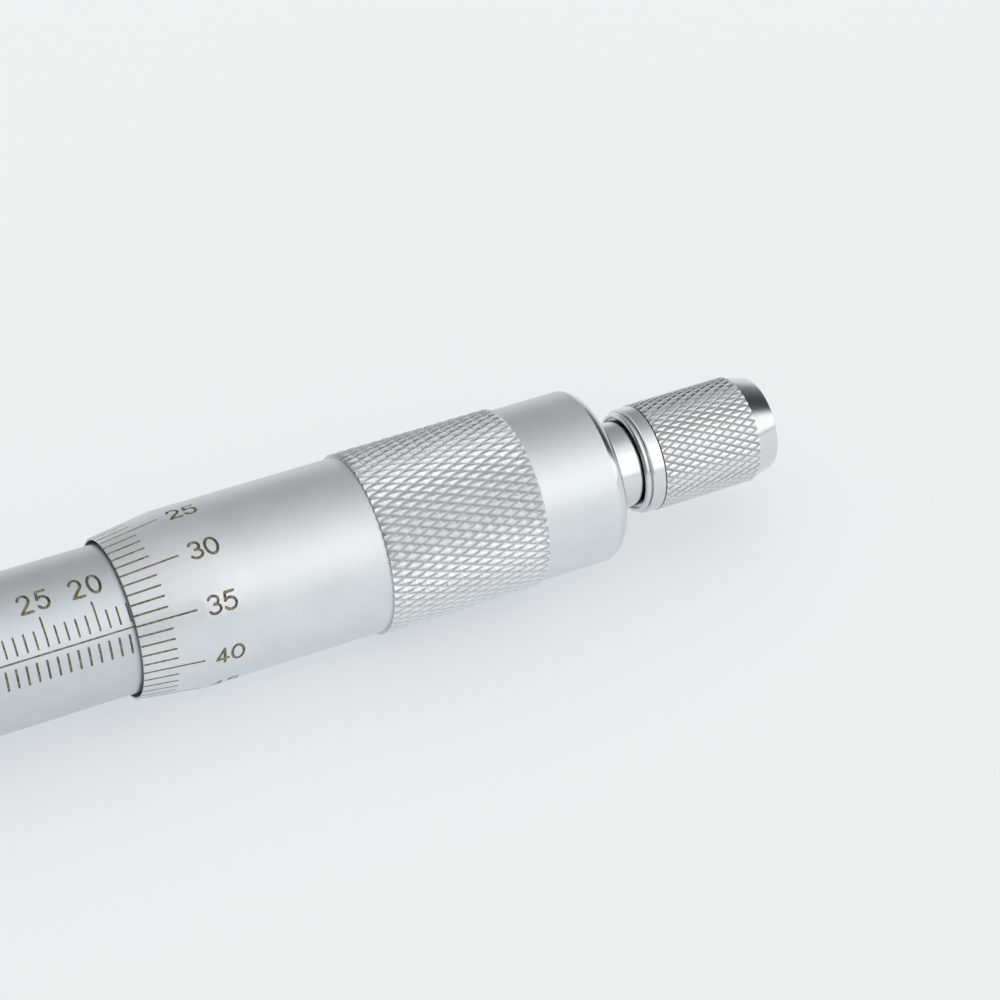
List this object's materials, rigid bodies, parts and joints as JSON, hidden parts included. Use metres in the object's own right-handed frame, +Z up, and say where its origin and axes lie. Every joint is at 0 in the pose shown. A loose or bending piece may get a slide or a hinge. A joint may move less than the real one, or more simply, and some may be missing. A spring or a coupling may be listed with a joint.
{
  "type": "inside micrometer",
  "caption": "Jaw-type inside micrometer lying on its side: graduated sleeve, knurled thimble on a fine screw, ratchet knob, fixed and sliding jaws, clamp screw.",
  "frame": {"origin": "middle of the tool's outline on the surface that it lies on", "axes": "+X along the spindle towards the ratchet knob, +Z up, the scale faces up and towards -Y"},
  "size_m": [0.1356, 0.0268, 0.0367],
  "materials": {
    "satin_chrome": "satin chrome plate with fine turning marks",
    "bright_chrome": "bright turned and plated steel",
    "tool_steel": "ground steel",
    "brass": "turned brass"
  },
  "bodies": {
    "frame": {"frame_body": "satin_chrome", "fixed_jaw": "bright_chrome", "fixed_jaw_screws": "tool_steel", "inner_sleeve": "tool_steel", "graduated_sleeve": "satin_chrome", "adjusting_nut": "tool_steel", "guide_key": "tool_steel"},
    "carriage": {"spindle": "tool_steel", "movable_jaw": "bright_chrome", "jaw_end_screw": "tool_steel", "jaw_pin": "tool_steel", "swivel_retainer": "tool_steel", "thrust_ball": "tool_steel"},
    "drive": {"micrometer_screw": "tool_steel", "swivel_collar": "tool_steel", "thimble": "satin_chrome", "ratchet_stem": "bright_chrome", "ratchet_end_screw": "tool_steel"},
    "ratchet": {"ratchet_knob": "bright_chrome", "ratchet_pawl": "tool_steel", "ratchet_spring": "tool_steel"},
    "clamp": {"clamp_pad": "brass"},
    "lock": {"lock_screw": "tool_steel"}
  },
  "joints": [
    {"name": "spindle_feed", "type": "slide", "parent": "frame", "child": "carriage", "axis": [1, 0, 0], "range_m": [-0.01315, 0.01185]},
    {"name": "thimble_turn", "type": "hinge", "parent": "carriage", "child": "drive", "pos_m": [-0.00172, -0.0043, 0.0091], "axis": [1, 0, 0], "range_deg": [-9467, 8531]},
    {"name": "ratchet_turn", "type": "hinge", "parent": "drive", "child": "ratchet", "pos_m": [0.05962, -0.0043, 0.0091], "axis": [1, 0, 0], "continuous": true},
    {"name": "clamp_feed", "type": "slide", "parent": "frame", "child": "clamp", "axis": [0, -0.8572, 0.515], "range_m": [0, 0.000498]},
    {"name": "lock_turn", "type": "hinge", "parent": "clamp", "child": "lock", "pos_m": [-0.03938, 0.00342, 0.00447], "axis": [0, -0.8572, 0.515], "range_deg": [0, 359]}
  ],
  "couplings": [
    {"joint": "thimble_turn", "follows": "spindle_feed", "rad_per_m": 12566},
    {"joint": "lock_turn", "follows": "clamp_feed", "rad_per_m": 12566}
  ]
}
